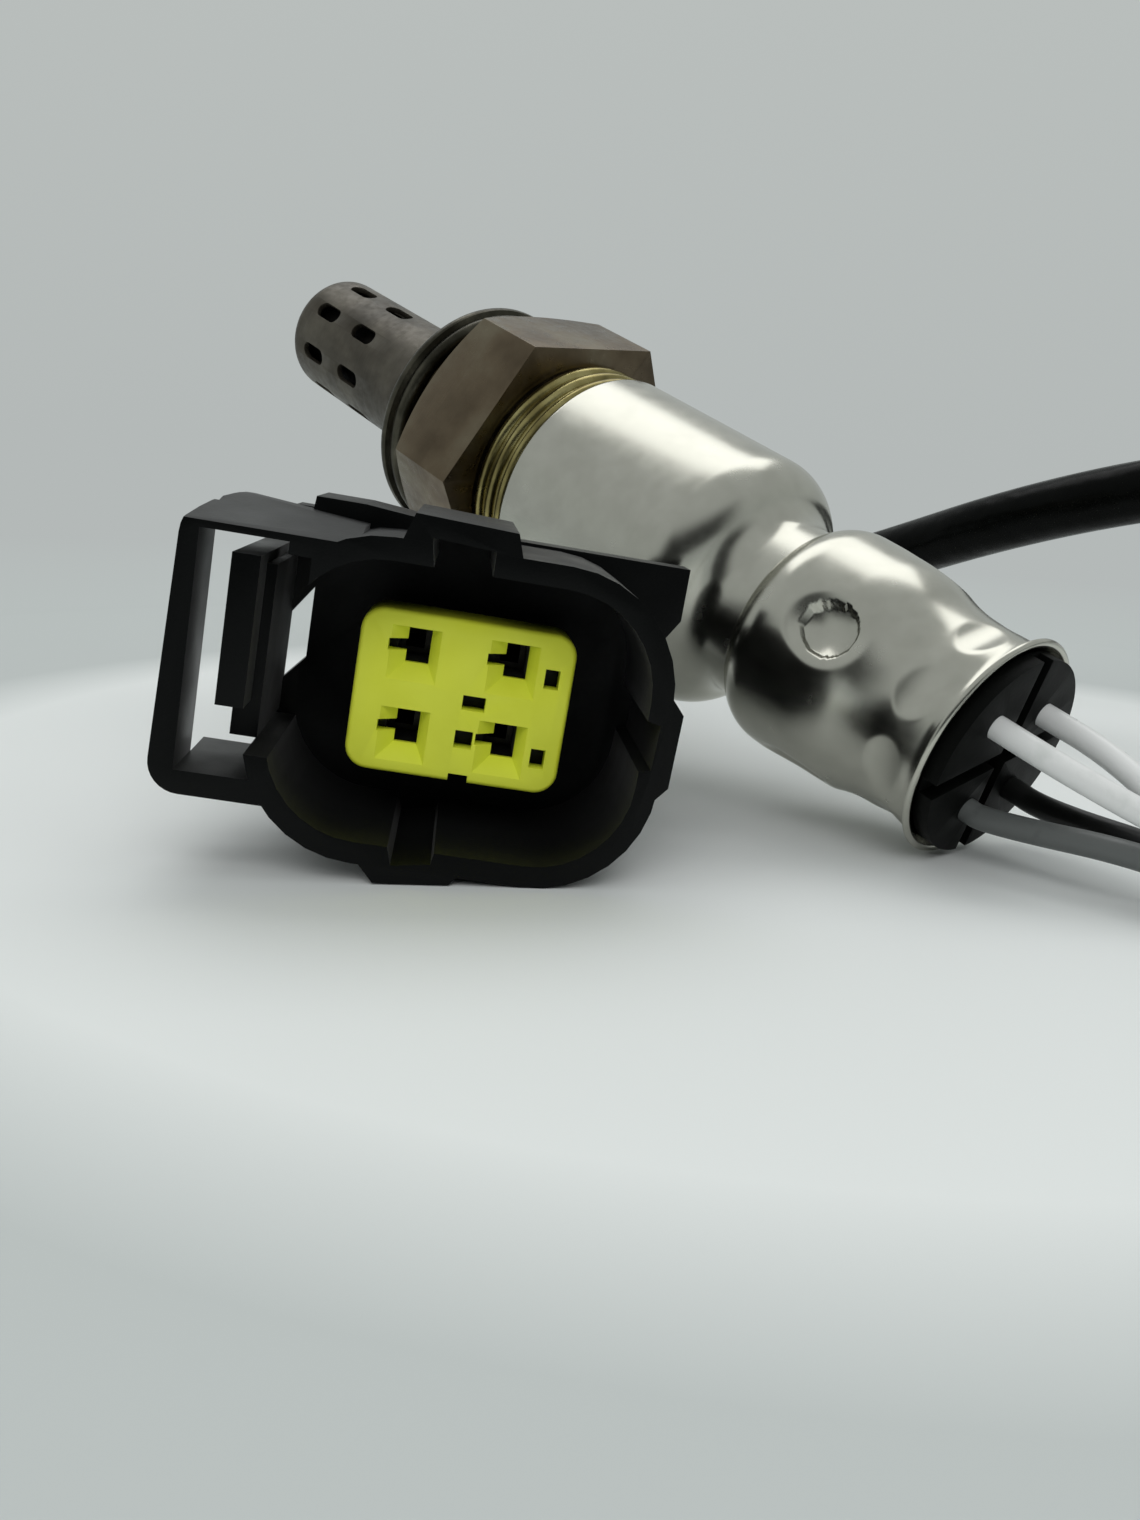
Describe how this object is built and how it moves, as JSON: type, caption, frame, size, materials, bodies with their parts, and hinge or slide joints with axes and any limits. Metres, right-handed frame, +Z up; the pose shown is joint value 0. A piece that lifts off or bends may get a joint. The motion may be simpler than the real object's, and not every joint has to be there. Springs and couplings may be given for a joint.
{
  "type": "oxygen sensor",
  "caption": "Heated zirconia oxygen sensor with slotted tip, hex body, bright shells and a sleeved lead to a rectangular plug with a yellow terminal holder.",
  "frame": {"origin": "bottom centre of the sensor's own box, on the surface it lies on, without its wires, lead and plug", "axes": "+Z up, +X level from the sensor's tip towards its wires; the sensor's axis falls 20 degrees towards +X"},
  "size_m": [0.1466, 0.1161, 0.0407],
  "materials": {
    "tube_steel": "heat-tinted satin",
    "inner_steel": "dull",
    "housing_steel": "bronze-brown passivated",
    "gasket_steel": "satin",
    "crimp_steel": "gold heat tint",
    "shell_steel": "bright",
    "ceramic": "matt",
    "talc": "pressed powder",
    "contact_metal": "satin",
    "spring_steel": "satin",
    "black_rubber": "matt",
    "white_wire": "satin",
    "grey_wire": "satin",
    "black_wire": "satin",
    "sleeve_black": "satin",
    "connector_black": "fine moulded texture",
    "holder_yellow": "satin",
    "seal_rubber": "matt"
  },
  "bodies": {
    "root": {"hex_housing": "housing_steel", "seat_gasket": "gasket_steel", "outer_protection_tube": "tube_steel", "inner_protection_tube": "inner_steel", "sensing_element": "ceramic", "element_washer": "spring_steel", "talc_seal": "talc", "packing_ring": "ceramic", "heater_rod": "ceramic", "crimp_ring": "crimp_steel", "main_shell": "shell_steel", "rear_shell": "shell_steel", "spring_ring": "spring_steel", "ceramic_insulator": "ceramic", "heater_contact_1": "contact_metal", "heater_contact_2": "contact_metal", "signal_contact": "contact_metal", "ground_contact": "contact_metal", "grommet": "black_rubber", "heater_wire_1": "white_wire", "heater_wire_2": "white_wire", "ground_wire": "grey_wire", "signal_wire": "black_wire", "cable_sleeve": "sleeve_black", "connector_housing": "connector_black", "terminal_holder": "holder_yellow", "wire_seal": "seal_rubber", "seal_cover": "connector_black", "heater_terminal_1": "contact_metal", "heater_terminal_2": "contact_metal", "ground_terminal": "contact_metal", "signal_terminal": "contact_metal"}
  },
  "joints": []
}
